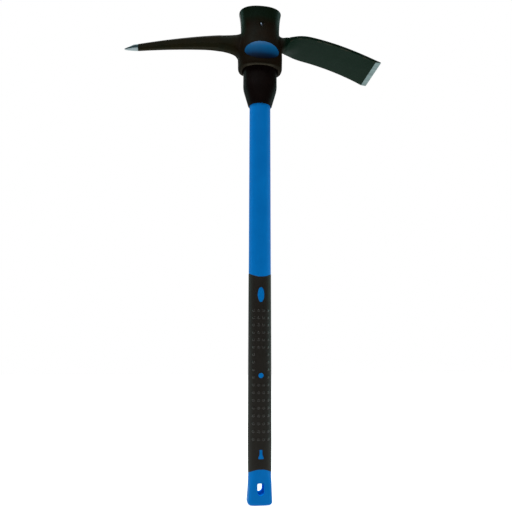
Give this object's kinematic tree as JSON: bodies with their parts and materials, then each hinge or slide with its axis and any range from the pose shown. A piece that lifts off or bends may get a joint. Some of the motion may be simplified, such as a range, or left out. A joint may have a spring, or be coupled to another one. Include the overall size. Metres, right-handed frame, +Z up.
{
  "type": "pick mattock",
  "caption": "Pick mattock: a forged head with a pointed pick and a broad adze blade on an oval eye, pinned to a plastic-jacketed fibreglass handle with a studded rubber grip.",
  "frame": {"origin": "middle of the butt's flat foot, on the centre line of the handle", "axes": "+Z up the handle to the head, +X to the adze blade, -X to the pick, -Y to the front that carries the label"},
  "size_m": [0.4926, 0.0898, 0.915],
  "materials": {
    "head_steel": "satin black paint on forged steel, ground bright at the point and the cutting edge",
    "sleeve_plastic": "black moulded plastic, satin",
    "pin_steel": "zinc plated",
    "core_fibreglass": "resin bonded glass fibre, cut end",
    "jacket_plastic": "blue moulded plastic, satin",
    "grip_rubber": "black moulded rubber"
  },
  "bodies": {
    "root": {"forged_head": "head_steel", "eye_sleeve": "sleeve_plastic", "head_pin": "pin_steel", "fibreglass_core": "core_fibreglass", "handle_jacket": "jacket_plastic", "rubber_grip": "grip_rubber"}
  },
  "joints": []
}
